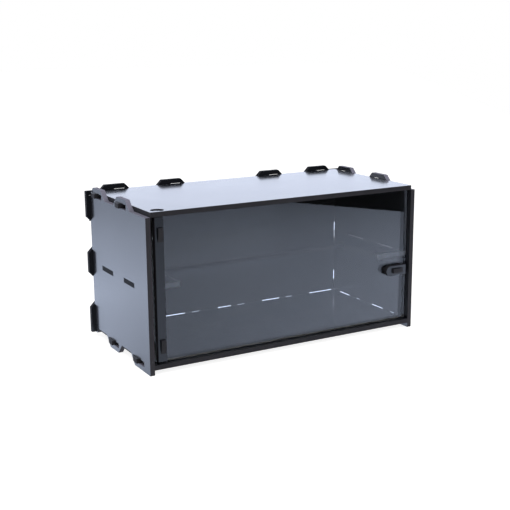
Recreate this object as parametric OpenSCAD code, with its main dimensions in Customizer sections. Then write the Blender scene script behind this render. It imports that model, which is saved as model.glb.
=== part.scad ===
// Display case for small models, cut from flat boards that hook together.
// Millimetres, +Z up, front towards -Y. The origin is on the ground at the
// centre of the case. One case stacks on the next: the bottom tabs drop
// between the top tabs of the case below.

/* [Boards] */
// Thickness of every board and of the clear sheet
board = 3; // [2.9:0.05:3.1]
// Width over the outer faces of the side panels
case_width = 190.7; // [190:0.1:230]
// Depth of the side panels, from front edge to back panel
side_depth = 89.4; // [89:0.1:120]
// Height from the underside of the bottom panel to the top of the top panel
body_height = 93.6; // [92:0.1:130]

/* [Tabs] */
// Half length of a tab at its tip
tab_tip = 6.8; // [6.2:0.1:7.2]
// How much longer each half of a tab is at its root
tab_slope = 6; // [5:0.1:7]
// Spacing of neighbouring tabs
tab_pitch = 40; // [38:0.5:42]
// Air left between the edge of a panel and the board that lies against it
notch_gap = 0.4; // [0:0.1:0.6]
// How far the back panel's side tabs stand out past the side panels
side_reach = 2.4; // [2:0.1:3]

/* [Slots and hooks] */
// Half length of a slot
slot_half = 7.75; // [7.5:0.05:8]
// Height of a slot
slot_height = 3.3; // [3.2:0.05:3.5]
// How far the back panel's side slots run on inside the side panels
slot_inset = 0.45; // [0.1:0.05:0.6]
// Gap between the middle of a slot and the hook's shank
shank_gap = 0.35; // [0.2:0.05:0.6]
// Room left between the shank and the end of its slot
shank_play = 0.1; // [0.05:0.05:0.3]
// How far a hook's head stands out from the outer face
head_proud = 1.5; // [1.2:0.1:1.8]
// How far the head laps over the end of its slot
head_lap = 1.8; // [1.4:0.1:2]
// Radius of the rounded toe of a head
toe_radius = 16; // [14:1:20]

/* [Shelf] */
// Height of the shelf's underside above the bottom panel's underside
shelf_level = 45.5; // [42:0.1:48]
// Width of each arm that reaches forward along a side panel
shelf_arm = 22; // [16:0.5:30]
// Where the wide front opening ends, measured from the front
shelf_front = 45.5; // [42:0.5:50]
// Where the left arm starts, behind the hinge
left_arm_front = 11.4; // [11:0.1:16]
// Where the right arm starts, just behind the door
right_arm_front = 6.9; // [6.8:0.1:10]

/* [Door] */
// How far the door's front sits back from the front of the case
door_set = 0.5; // [0.3:0.1:0.6]
// Left edge of the door, measured from the left outer face
door_left = 5.8; // [5.5:0.1:5.8]
// Gap between the door's right edge and the side panel
door_right_gap = 0.35; // [0.35:0.05:1]
// Gap under the door
door_low_gap = 0.4; // [0.3:0.1:0.6]
// Gap over the door
door_top_gap = 0.35; // [0.3:0.05:0.6]
// Width of the hinge stile on the front of the door
stile_width = 5.4; // [5.3:0.1:8]
// Gap under the hinge stile
stile_low_gap = 1.5; // [1.2:0.1:2]
// Left face of the hinge spine behind the door
spine_left = 7.4; // [7.2:0.05:7.4]
// Height of the lower hinge hook's lowest point
low_hook_level = 9.3; // [8:0.1:12]
// Height of the upper hinge hook's lowest point
high_hook_level = 75.8; // [60:0.1:78]
// Length of the head of a door hook
door_head = 8.3; // [8:0.1:9]

/* [Pivots] */
// Pivot axis, measured from the left outer face
pivot_x = 9.5; // [9.4:0.05:9.6]
// Pivot axis, measured from the front
pivot_y = 5; // [4.95:0.05:5.1]
// Radius of the pivot holes
pivot_bore = 4; // [3.9:0.05:4.05]
// How far a pivot pin stops short of the panel's outer face
pivot_recess = 0.6; // [0.4:0.1:1.5]

/* [Latch] */
// Left end of the latch plate, measured from the right side panel's inner face
latch_reach = 18; // [17:0.5:22]
// Distance from the latch plate's right end to the door's right edge
latch_gap = 2; // [1:0.1:4]
// Distance from the latch plate's left end to its hook
hook_set = 5; // [4:0.1:6]
// Height of the latch plate's middle
latch_level = 37.5; // [30:0.1:38]
// Height of the latch plate
latch_height = 6.5; // [6.2:0.1:8]

/* [Hidden] */
$fn = 96;
play = 0.15;
snug = 0.05;
inner_right = case_width - board;
depth = side_depth + board;
ceiling = body_height - board;
notch_floor = board + notch_gap;
slot_drop = (slot_height - board) / 2;
shank = slot_half - shank_gap - shank_play;
side_part = body_height / 5;
side_tip = tab_tip - 0.2;
side_tabs = [side_part / 2 + 1, body_height / 2, body_height - side_part / 2 - 1];
side_top_tabs = [side_depth - 53, side_depth - 53 + tab_pitch];
side_low_tabs = [side_depth - 73, side_depth - 73 + tab_pitch];
back_half_pitch = tab_pitch - 2;
back_top_tabs = [
    for (k = [-1, 1]) each [
        case_width / 2 + k * back_half_pitch,
        case_width / 2 + k * (back_half_pitch + tab_pitch)
    ]
];
back_low_tabs = [
    for (k = [-1, 1]) each [
        case_width / 2 + k * (back_half_pitch - tab_pitch / 2),
        case_width / 2 + k * (back_half_pitch + tab_pitch / 2)
    ]
];
low_end = side_part + notch_gap;
high_end = body_height - side_part - notch_gap;
shelf_tabs = [[19.7, 36.0], [53.5, 71.8]];
door_right = inner_right - door_right_gap;
door_low = board + door_low_gap;
door_top = ceiling - door_top_gap;
spine_depth = 3;
door_depth = 2 * board;
door_face = door_set + board;
door_back = door_set + door_depth;
pin_radius = pivot_bore - 0.05;
latch_left = inner_right - latch_reach;
latch_right = door_right - latch_gap;
tongue_left = latch_left + hook_set;
tongue_low = latch_level - board / 2;

board_black = [0.09, 0.09, 0.1];
edge_brown = [0.2, 0.18, 0.17];
clear_sheet = [0.8, 0.88, 0.92, 0.35];

// Moves corner measurements (left face, front face, bottom panel's underside)
// to the case's own origin.
module in_place() {
    translate([-case_width / 2, -(depth + door_set) / 2, board]) children();
}

// A flat board drawn as (y, z), standing across X from x0.
module across_x(x0) {
    translate([x0, 0, 0]) rotate([90, 0, 90]) linear_extrude(board) children();
}

// A flat board drawn as (x, z), standing across Y with its front at y0.
module across_y(y0) {
    translate([0, y0 + board, 0]) rotate([90, 0, 0]) linear_extrude(board) children();
}

// Four corners of a tab on an edge at v0, pointing to v1, in order of rising u.
function tab(c, v0, v1, tip = tab_tip, slope = tab_slope) = [
    [c - tip - slope, v0], [c - tip, v1], [c + tip, v1], [c + tip + slope, v0]
];

function backwards(list) = [for (i = [len(list) - 1:-1:0]) list[i]];

function swap(list) = [for (q = list) [q[1], q[0]]];

// Outline of one hook: u runs along the edge towards the toe from the middle of
// its slot, v outwards from the panel's edge.
module hook(low) {
    translate([shank_gap, -1, low]) cube([shank, board + 1.01, board]);
    translate([0, board, low]) linear_extrude(board) hook_head(shank_gap, slot_half + head_lap);
}

module hook_head(u0, u1) {
    intersection() {
        translate([u0, 0]) square([u1 - u0, head_proud]);
        union() {
            translate([u1 - 6.5, head_proud - toe_radius]) circle(r = toe_radius, $fn = 160);
            translate([u0, 0]) square([u1 - 6.5 - u0, head_proud]);
        }
    }
}

// Hook on a left edge, shank towards +Y.
module left_hook(y, z) {
    translate([board, y, z]) mirror([1, 0, 0]) rotate([0, 0, 90]) mirror([0, 1, 0]) hook(0);
}

// Hook on a right edge, shank towards -Y.
module right_hook(y, z) {
    translate([inner_right, y, z]) rotate([0, 0, -90]) hook(0);
}

// Hook on a rear edge. Side is 1 for a toe towards +X and -1 for one towards -X.
module rear_hook(x, z, side) {
    translate([x, side_depth, z]) scale([side, 1, 1]) hook(0);
}

// Hook on the rear edge of a side panel, toe down.
module upright_hook(x, z) {
    translate([x, side_depth, z]) rotate([0, 90, 0]) hook(0);
}

module side_outline() {
    low = [for (c = side_low_tabs) each tab(c, notch_floor, -board)];
    top = [for (c = side_top_tabs) each tab(c, ceiling, body_height + board)];
    rear = side_low_tabs[1] + tab_pitch - tab_tip - tab_slope;
    front_foot = [for (i = [2:1:len(low) - 1]) low[i]];
    polygon(concat(
        [[0, -board]],
        front_foot,
        [[rear, notch_floor], [rear + notch_floor * tab_slope / (notch_floor + board), 0]],
        [[side_depth, 0], [side_depth, ceiling]],
        backwards(top),
        [[0, ceiling]]
    ));
}

// Slots of a side panel for the top panel, the bottom panel and the shelf.
module side_slots(x0) {
    for (y = side_top_tabs) translate([x0 - 1, y - slot_half, ceiling - slot_drop])
        cube([board + 2, 2 * slot_half, slot_height]);
    for (y = side_low_tabs) translate([x0 - 1, y - slot_half, -slot_drop])
        cube([board + 2, 2 * slot_half, slot_height]);
    for (s = shelf_tabs) translate([x0 - 1, s[0] - snug, shelf_level - snug])
        cube([board + 2, s[1] - s[0] + 2 * snug, board + 2 * snug]);
}

module left_side_panel() color(board_black) in_place() {
    difference() {
        across_x(0) side_outline();
        side_slots(0);
    }
    for (z = side_tabs) upright_hook(0, z);
}

module right_side_panel() color(board_black) in_place() {
    difference() {
        across_x(inner_right) side_outline();
        side_slots(inner_right);
    }
    for (z = side_tabs) upright_hook(inner_right, z);
}

module pivot_hole(z) {
    translate([pivot_x, pivot_y, z]) cylinder(h = 3 * board, r = pivot_bore, center = true);
}

module top_panel() color(board_black) in_place() {
    difference() {
        translate([board, 0, ceiling]) cube([inner_right - board, side_depth, board]);
        pivot_hole(body_height);
    }
    for (y = side_top_tabs) {
        left_hook(y, ceiling);
        right_hook(y, ceiling);
    }
    for (x = back_top_tabs) rear_hook(x, ceiling, -1);
}

module bottom_panel() color(board_black) in_place() {
    difference() {
        translate([board, 0, 0]) cube([inner_right - board, side_depth, board]);
        pivot_hole(0);
    }
    for (y = side_low_tabs) {
        left_hook(y, 0);
        right_hook(y, 0);
    }
    for (x = back_low_tabs) rear_hook(x, 0, 1);
}

// One side of the back panel: corner blocks and a middle tab, drawn as (x, z)
// from the bottom up, with the panel's own edge at u0 and the tips at u1.
function back_side(u0, u1) = concat(
    [[u0, 0], [u1, 0], [u1, low_end - side_reach], [u0, low_end + board]],
    swap(tab(body_height / 2, u0, u1, side_tip, board + side_reach)),
    [[u0, high_end - board], [u1, high_end + side_reach], [u1, body_height]]
);

module back_outline() {
    low = [for (c = [back_low_tabs[1], back_low_tabs[0], back_low_tabs[2], back_low_tabs[3]])
        each tab(c, notch_floor, -board)];
    top = [for (c = [back_top_tabs[1], back_top_tabs[0], back_top_tabs[2], back_top_tabs[3]])
        each tab(c, ceiling, body_height + board)];
    corner = top[1][0] - tab_slope / 2;
    top_row = [for (i = [len(top) - 2:-1:1]) top[i]];
    polygon(concat(
        [[board, notch_floor]],
        low,
        [[inner_right, notch_floor]],
        back_side(inner_right, case_width + side_reach),
        [[case_width - corner, body_height]],
        top_row,
        [[corner, body_height]],
        backwards(back_side(board, -side_reach))
    ));
}

module back_panel() color(board_black) in_place() difference() {
    across_y(side_depth) back_outline();
    for (x = back_top_tabs) translate([x - slot_half, side_depth - 1, ceiling - slot_drop])
        cube([2 * slot_half, board + 2, slot_height]);
    for (x = back_low_tabs) translate([x - slot_half, side_depth - 1, -slot_drop])
        cube([2 * slot_half, board + 2, slot_height]);
    for (x = [0, inner_right - slot_inset], z = side_tabs)
        translate([x, side_depth - 1, z - slot_half])
            cube([board + slot_inset, board + 2, 2 * slot_half]);
}

// Clear shelf with a wide opening at the front for tall models.
module shelf() color(clear_sheet) in_place() translate([0, 0, shelf_level]) linear_extrude(board) {
    polygon([
        [board + play, left_arm_front], [board + shelf_arm, left_arm_front],
        [board + shelf_arm, shelf_front], [inner_right - shelf_arm, shelf_front],
        [inner_right - shelf_arm, right_arm_front], [inner_right - play, right_arm_front],
        [inner_right - play, side_depth - play], [board + play, side_depth - play]
    ]);
    for (s = shelf_tabs, x = [0, inner_right - 1])
        translate([x, s[0]]) square([board + 1, s[1] - s[0]]);
}

// Openings for the hooks of the hinge spine, through one sheet.
module hinge_slots(y0) {
    for (z = [low_hook_level, high_hook_level])
        translate([spine_left - play, y0 - 1, z + head_lap - play])
            cube([board + 2 * play, board + 2, door_head - head_lap + 3 * play]);
}

module door_pane() color(clear_sheet) in_place() difference() {
    translate([door_left, door_face, door_low])
        cube([door_right - door_left, board, door_top - door_low]);
    hinge_slots(door_face);
    translate([tongue_left - play, door_face - 1, tongue_low - play])
        cube([door_head - head_lap + 2 * play, board + 2, board + 2 * play]);
}

module hinge_stile() color(board_black) in_place() difference() {
    translate([door_left, door_set, board + stile_low_gap])
        cube([stile_width, board, door_top - board - stile_low_gap]);
    hinge_slots(door_set);
}

// Front head of a door hook, drawn as (u, v) with the toe towards +u.
module door_hook_head() {
    hook_head(0, door_head);
}

module hinge_spine() color(board_black) in_place() {
    translate([spine_left, door_back, board + stile_low_gap])
        cube([board, spine_depth, door_top - board - stile_low_gap]);
    for (z = [low_hook_level, high_hook_level]) {
        translate([spine_left, door_set - 0.01, z + head_lap])
            cube([board, door_depth + 1, door_head - head_lap]);
        translate([spine_left, door_set, z + door_head]) rotate([0, 90, 0]) mirror([0, 1, 0])
            linear_extrude(board) door_hook_head();
    }
}

module pivot_pin(z0, z1) {
    translate([pivot_x, pivot_y, z0]) cylinder(h = z1 - z0, r = pin_radius);
}

module upper_pivot() color(edge_brown) in_place() pivot_pin(door_top, body_height - pivot_recess);

module lower_pivot() color(edge_brown) in_place() pivot_pin(pivot_recess, door_low);

module latch_plate() color(board_black) in_place() difference() {
    across_y(door_set) {
        translate([latch_left + latch_height / 2, latch_level]) circle(d = latch_height);
        translate([latch_left + latch_height / 2, latch_level - latch_height / 2])
            square([latch_right - latch_left - latch_height / 2, latch_height]);
    }
    translate([tongue_left - play, door_set - 1, tongue_low - play])
        cube([door_head - head_lap + 2 * play, board + 2, board + 2 * play]);
}

// Flat hook lying level: its head laps the latch plate, its bar lies behind the door.
module latch_tongue() color(edge_brown) in_place() translate([tongue_left, door_set, tongue_low]) {
    translate([0, -0.01, 0]) cube([door_head - head_lap, door_depth + 1, board]);
    mirror([0, 1, 0]) linear_extrude(board) door_hook_head();
    translate([-2, door_depth, 0]) cube([door_head + 2, 4.5, board]);
}

left_side_panel();
right_side_panel();
top_panel();
bottom_panel();
back_panel();
shelf();
door_pane();
hinge_stile();
hinge_spine();
upper_pivot();
lower_pivot();
latch_plate();
latch_tongue();
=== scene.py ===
"""Display case: black boards hooked together, a clear hinged door and a clear cut-out shelf.

Everything is in metres, in the case's own frame: Z up, door towards -Y, hinge side at -X.
"""

import math

import bpy
from mathutils import Matrix, Vector


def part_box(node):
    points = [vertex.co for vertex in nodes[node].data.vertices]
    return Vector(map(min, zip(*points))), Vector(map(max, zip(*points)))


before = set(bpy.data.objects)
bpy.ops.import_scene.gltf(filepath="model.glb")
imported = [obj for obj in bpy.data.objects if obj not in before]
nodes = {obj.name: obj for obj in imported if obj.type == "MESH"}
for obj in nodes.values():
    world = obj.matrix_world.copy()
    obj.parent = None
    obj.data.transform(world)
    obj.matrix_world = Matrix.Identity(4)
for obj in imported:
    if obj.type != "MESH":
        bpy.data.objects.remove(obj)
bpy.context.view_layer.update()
scene = bpy.context.scene

# ---------------------------------------------------------------- node helpers


def new_group(name, inputs, outputs):
    """A node group with named sockets only: {name: (kind, default)} in and {name: kind} out."""
    group = bpy.data.node_groups.new(name, "ShaderNodeTree")
    for label, (kind, default) in inputs.items():
        socket = group.interface.new_socket(name=label, in_out="INPUT", socket_type=kind)
        socket.default_value = default
    for label, kind in outputs.items():
        group.interface.new_socket(name=label, in_out="OUTPUT", socket_type=kind)
    start = group.nodes.new("NodeGroupInput")
    end = group.nodes.new("NodeGroupOutput")
    return group, start, end


def join(tree, source, target):
    tree.links.new(source, target)


def maths(tree, operation, a, b=None, c=None, clamp=False):
    """A Math node; a, b and c are sockets or numbers."""
    node = tree.nodes.new("ShaderNodeMath")
    node.operation = operation
    node.use_clamp = clamp
    for slot, value in zip(node.inputs, (a, b, c)):
        if value is None:
            continue
        if isinstance(value, (int, float)):
            slot.default_value = value
        else:
            tree.links.new(value, slot)
    return node.outputs[0]


def noise(tree, vector, scale, detail=2.0, roughness=0.5, distortion=0.0):
    """Cloudy noise from 0 to 1, with scale in waves per metre."""
    node = tree.nodes.new("ShaderNodeTexNoise")
    node.inputs["Scale"].default_value = scale
    node.inputs["Detail"].default_value = detail
    node.inputs["Roughness"].default_value = roughness
    node.inputs["Distortion"].default_value = distortion
    join(tree, vector, node.inputs["Vector"])
    return node.outputs["Fac"]


def stretched(tree, vector, factors):
    """The vector scaled by its own factor on each axis."""
    node = tree.nodes.new("ShaderNodeMapping")
    node.inputs["Scale"].default_value = factors
    join(tree, vector, node.inputs["Vector"])
    return node.outputs["Vector"]


def ramp(tree, value, low, high):
    """0 at low, 1 at high, straight between."""
    node = tree.nodes.new("ShaderNodeMapRange")
    node.inputs["From Min"].default_value = low
    node.inputs["From Max"].default_value = high
    join(tree, value, node.inputs["Value"])
    return node.outputs["Result"]


def mix_colour(tree, factor, a, b):
    """Colour a at factor 0 and b at 1; a and b are sockets or (red, green, blue)."""
    node = tree.nodes.new("ShaderNodeMix")
    node.data_type = "RGBA"
    join(tree, factor, node.inputs[0])
    for slot, value in ((node.inputs[6], a), (node.inputs[7], b)):
        if isinstance(value, tuple):
            slot.default_value = (*value, 1.0)
        else:
            join(tree, value, slot)
    return node.outputs[2]


def mix_value(tree, factor, a, b):
    """Value a at factor 0 and b at 1; a and b are sockets or numbers."""
    node = tree.nodes.new("ShaderNodeMix")
    node.data_type = "FLOAT"
    join(tree, factor, node.inputs[0])
    for slot, value in ((node.inputs[2], a), (node.inputs[3], b)):
        if isinstance(value, (int, float)):
            slot.default_value = value
        else:
            join(tree, value, slot)
    return node.outputs[0]


# ---------------------------------------------------------------- shared effects


def make_cut_edge_group():
    """How far a spot is on a board's cut edge: 1 where the surface faces across the sheet."""
    tree, start, end = new_group(
        "Cut edge mask",
        {"Facing": ("NodeSocketFloat", 0.0)},
        {"Edge": "NodeSocketFloat"},
    )
    flat = maths(tree, "ABSOLUTE", start.outputs["Facing"])
    edge = maths(tree, "SUBTRACT", 1.0, flat, clamp=True)
    join(tree, ramp(tree, edge, 0.35, 0.65), end.inputs["Edge"])
    return tree


def make_laminate_group():
    """Satin black facing: cloudy near-black, its gloss dulled here and there by handling."""
    tree, start, end = new_group(
        "Satin facing",
        {
            "Place": ("NodeSocketVector", (0.0, 0.0, 0.0)),
            "Handling": ("NodeSocketFloat", 0.06),
        },
        {
            "Colour": "NodeSocketColor",
            "Gloss": "NodeSocketFloat",
            "Roughness": "NodeSocketFloat",
            "Height": "NodeSocketFloat",
        },
    )
    place = start.outputs["Place"]
    cloud = noise(tree, place, 38.0, 3.0, 0.55)
    grain = noise(tree, place, 2600.0, 2.0, 0.6)
    smears = noise(tree, place, 22.0, 3.0, 0.6, 0.6)
    specks = ramp(tree, noise(tree, place, 420.0, 1.0, 0.5), 0.76, 0.80)
    colour = mix_colour(tree, cloud, (0.0030, 0.0032, 0.0041), (0.0055, 0.0058, 0.0070))
    join(tree, mix_colour(tree, specks, colour, (0.02, 0.02, 0.021)), end.inputs["Colour"])
    dulled = maths(tree, "MULTIPLY", ramp(tree, smears, 0.35, 0.75), start.outputs["Handling"])
    dulled = maths(tree, "ADD", dulled, maths(tree, "MULTIPLY", specks, 0.3))
    join(tree, maths(tree, "SUBTRACT", 1.0, dulled), end.inputs["Gloss"])
    rough = maths(tree, "ADD", maths(tree, "MULTIPLY", grain, 0.2), 0.35)
    join(tree, rough, end.inputs["Roughness"])
    height = maths(tree, "ADD", grain, maths(tree, "MULTIPLY", cloud, 0.4))
    join(tree, height, end.inputs["Height"])
    return tree


def make_char_group():
    """Laser-cut fibreboard edge: brown-black, with fine lines running through the sheet.

    Along is the place along the edge and Through the place through the sheet, in metres.
    """
    tree, start, end = new_group(
        "Charred cut edge",
        {
            "Along": ("NodeSocketFloat", 0.0),
            "Through": ("NodeSocketFloat", 0.0),
            "Place": ("NodeSocketVector", (0.0, 0.0, 0.0)),
            "Bareness and shade": ("NodeSocketFloat", 0.2),
        },
        {"Colour": "NodeSocketColor", "Roughness": "NodeSocketFloat", "Height": "NodeSocketFloat"},
    )
    # Kerf lines: quick change along the edge, slow change through the sheet.
    combine = tree.nodes.new("ShaderNodeCombineXYZ")
    join(tree, maths(tree, "MULTIPLY", start.outputs["Along"], 2400.0), combine.inputs["X"])
    join(tree, maths(tree, "MULTIPLY", start.outputs["Through"], 160.0), combine.inputs["Y"])
    lines = noise(tree, combine.outputs["Vector"], 1.0, 2.0, 0.5)
    fibre = noise(tree, start.outputs["Place"], 1500.0, 3.0, 0.65)
    soot = noise(tree, start.outputs["Place"], 120.0, 2.0, 0.5)
    black = mix_colour(tree, lines, (0.007, 0.0065, 0.0068), (0.021, 0.019, 0.020))
    brown = mix_colour(tree, lines, (0.034, 0.031, 0.033), (0.056, 0.052, 0.056))
    # How brown an edge is: Bareness and shade, set per part partly as painted light and shade,
    # less where real soot lies thicker.
    sooty = ramp(tree, soot, 0.3, 0.75)
    brownness = maths(tree, "MULTIPLY_ADD", sooty, -0.15, start.outputs["Bareness and shade"])
    colour = mix_colour(tree, maths(tree, "MAXIMUM", brownness, 0.0), black, brown)
    join(tree, colour, end.inputs["Colour"])
    rough = maths(tree, "ADD", maths(tree, "MULTIPLY", fibre, 0.2), 0.6)
    join(tree, rough, end.inputs["Roughness"])
    height = maths(tree, "ADD", lines, maths(tree, "MULTIPLY", fibre, 0.6))
    join(tree, height, end.inputs["Height"])
    return tree


cut_edge_group = make_cut_edge_group()
laminate_group = make_laminate_group()
char_group = make_char_group()


def use_group(tree, group):
    """A node of a shared effect in a material's tree."""
    node = tree.nodes.new("ShaderNodeGroup")
    node.node_tree = group
    return node


# ---------------------------------------------------------------- materials

# Pale mauve painted highlight, laid on cut edges that face up.
UP_EDGE_HIGHLIGHT = (0.42, 0.38, 0.41)
CLEAR_SHEET = (0.97, 0.98, 0.985)
LIGHT_THROUGH = (0.9, 0.92, 0.92, 1.0)
ACRYLIC_IOR = 1.49
BOARD_BUMP = (0.25, 0.00006)
FINE_BUMP = (0.1, 0.00003)
RING_PITCH = 22000.0


def new_material(name):
    """A material with an empty tree and its output."""
    material = bpy.data.materials.new(name)
    material.use_nodes = True
    tree = material.node_tree
    tree.nodes.clear()
    output = tree.nodes.new("ShaderNodeOutputMaterial")
    return material, tree, output


def bump_normal(tree, shader, height, relief):
    """Bumps the shader by a height; relief is (strength, distance in metres)."""
    bump = tree.nodes.new("ShaderNodeBump")
    bump.inputs["Strength"].default_value, bump.inputs["Distance"].default_value = relief
    join(tree, height, bump.inputs["Height"])
    join(tree, bump.outputs["Normal"], shader.inputs["Normal"])


def laminate_shader(tree):
    """The shader of a black board: a dull body under a clear facing."""
    shader = tree.nodes.new("ShaderNodeBsdfPrincipled")
    shader.inputs["IOR"].default_value = 1.25
    shader.inputs["Coat Roughness"].default_value = 0.15
    shader.inputs["Coat IOR"].default_value = 1.5
    return shader


def board_material(name, thin_axis, bareness_and_shade, shine=1.0, up_highlight=0.0):
    """Black-faced board whose sheet lies across the given axis, with charred cut edges.

    bareness_and_shade is how much brown board shows through the char on the edges, and per part
    also painted light and shade; shine scales the gloss; up_highlight is how strongly a pale
    painted highlight is laid on the char where an edge faces up.
    """
    material, tree, output = new_material(name)
    where = tree.nodes.new("ShaderNodeTexCoord")
    normal = tree.nodes.new("ShaderNodeSeparateXYZ")
    join(tree, where.outputs["Normal"], normal.inputs["Vector"])
    place = tree.nodes.new("ShaderNodeSeparateXYZ")
    join(tree, where.outputs["Object"], place.inputs["Vector"])
    edge = use_group(tree, cut_edge_group)
    join(tree, normal.outputs[thin_axis], edge.inputs["Facing"])
    across = [axis for axis in "XYZ" if axis != thin_axis]
    along = maths(tree, "ADD", place.outputs[across[0]], place.outputs[across[1]])
    char = use_group(tree, char_group)
    join(tree, along, char.inputs["Along"])
    join(tree, place.outputs[thin_axis], char.inputs["Through"])
    join(tree, where.outputs["Object"], char.inputs["Place"])
    char.inputs["Bareness and shade"].default_value = bareness_and_shade
    facing = use_group(tree, laminate_group)
    join(tree, where.outputs["Object"], facing.inputs["Place"])

    shader = laminate_shader(tree)
    mask = edge.outputs["Edge"]
    # Where an edge faces up, the pale painted highlight is mixed into the char colour.
    upward = ramp(tree, normal.outputs["Z"], 0.15, 0.6)
    up_highlight_amount = maths(tree, "MULTIPLY", maths(tree, "MULTIPLY", upward, up_highlight), char.outputs["Height"])
    cut = mix_colour(tree, up_highlight_amount, char.outputs["Colour"], UP_EDGE_HIGHLIGHT)
    colour = mix_colour(tree, mask, facing.outputs["Colour"], cut)
    join(tree, colour, shader.inputs["Base Color"])
    rough = mix_value(tree, mask, facing.outputs["Roughness"], char.outputs["Roughness"])
    join(tree, rough, shader.inputs["Roughness"])
    gloss = maths(tree, "MULTIPLY", facing.outputs["Gloss"], shine)
    join(tree, mix_value(tree, mask, gloss, 0.0), shader.inputs["Coat Weight"])
    flat_height = maths(tree, "MULTIPLY", facing.outputs["Height"], 0.015)
    height = mix_value(tree, mask, flat_height, char.outputs["Height"])
    bump_normal(tree, shader, height, BOARD_BUMP)
    join(tree, shader.outputs["BSDF"], output.inputs["Surface"])
    return material


def clear_material(name, thin_axis, lit_axis, reach, lit, plain):
    """Clear acrylic sheet: polished faces, faintly lined cut edges, light passes to the inside.

    Lit is the (colour, roughness) of the cuts across lit_axis that lie below reach on it, and
    plain that of all the other cuts; a near-black colour in either is painted shade on the clear
    sheet.
    """
    material, tree, output = new_material(name)
    where = tree.nodes.new("ShaderNodeTexCoord")
    normal = tree.nodes.new("ShaderNodeSeparateXYZ")
    join(tree, where.outputs["Normal"], normal.inputs["Vector"])
    edge = use_group(tree, cut_edge_group)
    join(tree, normal.outputs[thin_axis], edge.inputs["Facing"])
    mask = edge.outputs["Edge"]
    wiped = stretched(tree, where.outputs["Object"], (30.0, 30.0, 55.0))
    smear = noise(tree, wiped, 1.0, 4.0, 0.6)
    haze = maths(tree, "MULTIPLY", ramp(tree, smear, 0.45, 0.8), 0.012)
    lines = noise(tree, where.outputs["Object"], 1400.0, 2.0, 0.6)
    spot = tree.nodes.new("ShaderNodeSeparateXYZ")
    join(tree, where.outputs["Object"], spot.inputs["Vector"])
    within = maths(tree, "LESS_THAN", spot.outputs[lit_axis], reach)
    across = maths(tree, "ABSOLUTE", normal.outputs[lit_axis])
    lit_cut = maths(tree, "MULTIPLY", across, within)
    rough_cut = mix_value(tree, lit_cut, plain[1], lit[1])
    rough_cut = maths(tree, "MULTIPLY_ADD", lines, 0.12, rough_cut)
    shader = tree.nodes.new("ShaderNodeBsdfPrincipled")
    shader.inputs["IOR"].default_value = ACRYLIC_IOR
    shader.inputs["Transmission Weight"].default_value = 1.0
    # Cut colour by place; the near-black cut colours are painted shade.
    cut_colour = mix_colour(tree, lit_cut, plain[0], lit[0])
    colour = mix_colour(tree, mask, CLEAR_SHEET, cut_colour)
    join(tree, colour, shader.inputs["Base Color"])
    join(tree, mix_value(tree, mask, haze, rough_cut), shader.inputs["Roughness"])
    bump_normal(tree, shader, maths(tree, "MULTIPLY", lines, mask), FINE_BUMP)
    # Light on its way to the inside goes straight through the sheet.
    path = tree.nodes.new("ShaderNodeLightPath")
    through = tree.nodes.new("ShaderNodeBsdfTransparent")
    through.inputs["Color"].default_value = LIGHT_THROUGH
    blend = tree.nodes.new("ShaderNodeMixShader")
    join(tree, path.outputs["Is Shadow Ray"], blend.inputs[0])
    join(tree, shader.outputs["BSDF"], blend.inputs[1])
    join(tree, through.outputs["BSDF"], blend.inputs[2])
    join(tree, blend.outputs["Shader"], output.inputs["Surface"])
    return material


def pin_material():
    """Black turned pin with faint turning rings on its ends."""
    material, tree, output = new_material("Pivot pin black")
    where = tree.nodes.new("ShaderNodeTexCoord")
    facing = use_group(tree, laminate_group)
    join(tree, where.outputs["Object"], facing.inputs["Place"])
    shader = laminate_shader(tree)
    join(tree, facing.outputs["Colour"], shader.inputs["Base Color"])
    join(tree, facing.outputs["Roughness"], shader.inputs["Roughness"])
    join(tree, facing.outputs["Gloss"], shader.inputs["Coat Weight"])
    low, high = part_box("upper_pivot")
    middle = (low + high) / 2
    centre = tree.nodes.new("ShaderNodeMapping")
    centre.inputs["Location"].default_value = (-middle.x, -middle.y, 0.0)
    join(tree, where.outputs["Object"], centre.inputs["Vector"])
    flat = stretched(tree, centre.outputs["Vector"], (1.0, 1.0, 0.0))
    reach = tree.nodes.new("ShaderNodeVectorMath")
    reach.operation = "LENGTH"
    join(tree, flat, reach.inputs[0])
    rings = maths(tree, "SINE", maths(tree, "MULTIPLY", reach.outputs["Value"], RING_PITCH))
    bump_normal(tree, shader, rings, FINE_BUMP)
    join(tree, shader.outputs["BSDF"], output.inputs["Surface"])
    return material


def dress(node, material):
    """Puts one material on every slot of a CAD node."""
    for slot in nodes[node].material_slots:
        slot.material = material


# Each part has its own copy of the board. Their bareness_and_shade values (light edges on the
# sides, dark on the back and the door front) and the duller shine of the back and the door front
# are painted light and painted shade.
BOARDS = {
    "side": board_material("Black board, sides", "X", 0.62, up_highlight=0.75),
    "level": board_material("Black board, level", "Z", 0.38),
    "back": board_material("Black board, back", "Y", 0.1, shine=0.3),
    "stile": board_material("Black board, door front", "Y", 0.08, shine=0.8),
    "spine": board_material("Black board, hinge spine", "X", 0.35),
    "tongue": board_material("Black board, latch tongue", "Z", 0.45),
}
for name, board in {
    "left_side_panel": "side",
    "right_side_panel": "side",
    "back_panel": "back",
    "top_panel": "level",
    "bottom_panel": "level",
    "hinge_stile": "stile",
    "hinge_spine": "spine",
    "latch_plate": "stile",
    "latch_tongue": "tongue",
}.items():
    dress(name, BOARDS[board])

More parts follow.
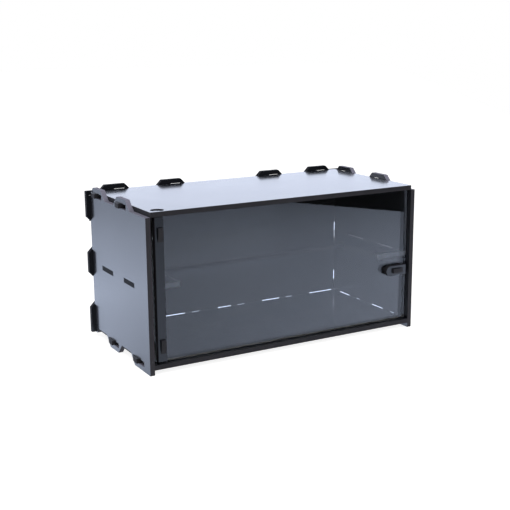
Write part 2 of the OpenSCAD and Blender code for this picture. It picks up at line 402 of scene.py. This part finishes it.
# The clear sheets' cuts, as (colour, roughness): frosted and pale beside the hinge, pale on the
# ends of the shelf's two arms, and elsewhere near-black, which is painted shade on clear acrylic.
HINGE_CUT = ((1.0, 1.0, 1.0), 0.9)
ARM_CUT = ((0.75, 0.79, 0.84), 0.3)
SHADED_SHELF_CUT = ((0.0, 0.0, 0.0), 0.88)
SHADED_SMOOTH_CUT = ((0.03, 0.032, 0.036), 0.05)
MIDDLE = 0.0
ARM_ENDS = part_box("shelf")[0].y + 0.006
pane_clear = clear_material("Clear door sheet", "Y", "X", MIDDLE, HINGE_CUT, SHADED_SMOOTH_CUT)
shelf_clear = clear_material("Clear shelf sheet", "Z", "Y", ARM_ENDS, ARM_CUT, SHADED_SHELF_CUT)
dress("door_pane", pane_clear)
dress("shelf", shelf_clear)
pin_black = pin_material()
dress("upper_pivot", pin_black)
dress("lower_pivot", pin_black)

# ---------------------------------------------------------------- camera

EYE = Vector((-0.302134, -0.537999, 0.195290))
YAW = math.radians(29.416)
PITCH = math.radians(13.093)
ROLL = math.radians(-0.434)
SENSOR = 36.0
LENS = 963.61 / 510.0 * SENSOR

forward = Vector(
    (math.sin(YAW) * math.cos(PITCH), math.cos(YAW) * math.cos(PITCH), -math.sin(PITCH))
)
level = Vector((math.cos(YAW), -math.sin(YAW), 0.0))
upright = level.cross(forward)
right = math.cos(ROLL) * level + math.sin(ROLL) * upright
up = -math.sin(ROLL) * level + math.cos(ROLL) * upright
camera_data = bpy.data.cameras.new("Camera")
camera_data.lens = LENS
camera_data.sensor_width = SENSOR
camera_data.clip_start = 0.01
camera = bpy.data.objects.new("Camera", camera_data)
turn = Matrix((right, up, -forward)).transposed().to_4x4()
camera.matrix_world = Matrix.Translation(EYE) @ turn
scene.collection.objects.link(camera)
scene.camera = camera

# ---------------------------------------------------------------- floor, backdrop and light

# The light in the studio is a little cool, and the paper on the floor a little warm,
# so that the floor comes out white.
COOL = (0.765, 0.83, 1.0)
WHITE = (1.0, 1.0, 1.0)
MIRRORED_FLOOR = (0.88, 1.0, 1.27)
FLOOR_GLOW = 0.85
# In front of the door the mirrored floor's strength goes with x, y and their product.
FRONT_BASE, FRONT_X, FRONT_Y, FRONT_XY = 1.39, 3.69, 1.78, 7.03
FRONT_LEAST, FRONT_MOST = 0.5, 1.7
# The floor ends along a line through this point, facing this way.
FLOOR_END = (0.2827, -0.4872, 0.0)
FLOOR_END_FACING = (0.844, -0.537, 0.0)
# The room's strength: on dull surfaces, below its edge, and in the gloss low down and high up.
# In front of the case the gloss gets only a part of it.
ROOM_PLAIN, ROOM_BELOW, ROOM_LOW, ROOM_HIGH = 0.4, 0.02, 1.86, 0.8
ROOM_FRONT_PART = 0.3


def mirrored_strength(tree, place):
    """How bright the floor shows in the gloss: brightest beside the case, fading outwards."""
    x, y = place.outputs["X"], place.outputs["Y"]
    rising = maths(tree, "MULTIPLY_ADD", y, 3.2, 1.22)
    falling = maths(tree, "MAXIMUM", maths(tree, "MULTIPLY_ADD", y, -2.2, 1.95), 0.88)
    beside = maths(tree, "MINIMUM", rising, falling)
    base = maths(tree, "MULTIPLY_ADD", y, FRONT_Y, FRONT_BASE)
    slope = maths(tree, "MULTIPLY_ADD", y, FRONT_XY, FRONT_X)
    before = maths(tree, "MULTIPLY_ADD", x, slope, base)
    before = maths(tree, "MAXIMUM", before, FRONT_LEAST)
    before = maths(tree, "MINIMUM", before, FRONT_MOST)
    return mix_value(tree, ramp(tree, y, -0.06, 0.0), before, beside)


def floor_material():
    """Pale paper floor; what the gloss of the boards and the clear door shows of it is cool."""
    material, tree, output = new_material("Pale floor")
    where = tree.nodes.new("ShaderNodeTexCoord")
    cloud = noise(tree, where.outputs["Object"], 6.0, 2.0, 0.5)
    diffuse = tree.nodes.new("ShaderNodeBsdfDiffuse")
    paper = mix_colour(tree, cloud, (0.62, 0.57, 0.47), (0.64, 0.59, 0.49))
    join(tree, paper, diffuse.inputs["Color"])
    place = tree.nodes.new("ShaderNodeSeparateXYZ")
    join(tree, where.outputs["Object"], place.inputs["Vector"])
    path = tree.nodes.new("ShaderNodeLightPath")
    glow = tree.nodes.new("ShaderNodeEmission")
    glow.inputs["Strength"].default_value = FLOOR_GLOW
    lit = tree.nodes.new("ShaderNodeAddShader")
    join(tree, diffuse.outputs["BSDF"], lit.inputs[0])
    join(tree, glow.outputs["Emission"], lit.inputs[1])
    mirrored = tree.nodes.new("ShaderNodeEmission")
    mirrored.inputs["Color"].default_value = (*MIRRORED_FLOOR, 1.0)
    join(tree, mirrored_strength(tree, place), mirrored.inputs["Strength"])
    seen = maths(
        tree, "MAXIMUM", path.outputs["Is Glossy Ray"], path.outputs["Is Transmission Ray"]
    )
    pick = tree.nodes.new("ShaderNodeMixShader")
    join(tree, seen, pick.inputs[0])
    join(tree, lit.outputs["Shader"], pick.inputs[1])
    join(tree, mirrored.outputs["Emission"], pick.inputs[2])
    join(tree, pick.outputs["Shader"], output.inputs["Surface"])
    return material


def lay_floor():
    """A wide sheet on the ground, cut off to the right of the door along a slanting line."""
    bpy.ops.object.select_all(action="DESELECT")
    bpy.ops.mesh.primitive_plane_add(size=6.0, location=(0.0, 1.4, 0.0))
    sheet = bpy.context.object
    sheet.name = "Floor"
    bpy.ops.object.transform_apply(location=True, rotation=True, scale=True)
    bpy.ops.object.mode_set(mode="EDIT")
    bpy.ops.mesh.select_all(action="SELECT")
    bpy.ops.mesh.bisect(plane_co=FLOOR_END, plane_no=FLOOR_END_FACING, clear_outer=True)
    bpy.ops.object.mode_set(mode="OBJECT")
    sheet.data.materials.append(floor_material())


def light_room():
    """Pale all round for the eye and through glass, graded for the gloss, plain for the rest."""
    world = bpy.data.worlds.new("Studio")
    scene.world = world
    world.use_nodes = True
    tree = world.node_tree
    tree.nodes.clear()
    output = tree.nodes.new("ShaderNodeOutputWorld")
    light = tree.nodes.new("ShaderNodeBackground")
    path = tree.nodes.new("ShaderNodeLightPath")
    where = tree.nodes.new("ShaderNodeTexCoord")
    direction = tree.nodes.new("ShaderNodeSeparateXYZ")
    join(tree, where.outputs["Generated"], direction.inputs["Vector"])
    above = ramp(tree, direction.outputs["Z"], -0.02, 0.02)
    upwards = ramp(tree, direction.outputs["Z"], 0.25, 0.7)
    backwards = ramp(tree, direction.outputs["Y"], -0.4, 0.0)
    room = mix_value(tree, upwards, ROOM_LOW, ROOM_HIGH)
    room = maths(tree, "MULTIPLY", room, mix_value(tree, backwards, ROOM_FRONT_PART, 1.0))
    in_gloss = mix_value(tree, above, ROOM_BELOW, room)
    through_glass = mix_value(tree, above, ROOM_BELOW, 1.0)
    strength = mix_value(tree, path.outputs["Is Glossy Ray"], ROOM_PLAIN, in_gloss)
    strength = mix_value(tree, path.outputs["Is Transmission Ray"], strength, through_glass)
    strength = mix_value(tree, path.outputs["Is Camera Ray"], strength, 1.0)
    join(tree, strength, light.inputs["Strength"])
    straight = maths(
        tree, "MAXIMUM", path.outputs["Is Camera Ray"], path.outputs["Is Transmission Ray"]
    )
    join(tree, mix_colour(tree, straight, COOL, WHITE), light.inputs["Color"])
    join(tree, light.outputs["Background"], output.inputs["Surface"])


def softbox(name, place, aim, size, power):
    """A rectangular cool lamp at place that shines towards aim."""
    lamp = bpy.data.lights.new(name, "AREA")
    lamp.shape = "RECTANGLE"
    lamp.size, lamp.size_y = size
    lamp.energy = power
    lamp.color = COOL
    obj = bpy.data.objects.new(name, lamp)
    obj.location = place
    obj.rotation_euler = (Vector(aim) - Vector(place)).to_track_quat("-Z", "Y").to_euler()
    scene.collection.objects.link(obj)


lay_floor()
light_room()
softbox("Key softbox", (-0.5, -0.7, 1.5), (0.0, 0.0, 0.0), (1.0, 1.0), 12.0)
softbox("Fill softbox", (1.1, -0.2, 1.2), (0.0, 0.0, 0.0), (0.8, 0.8), 5.0)

scene.view_settings.view_transform = "Standard"
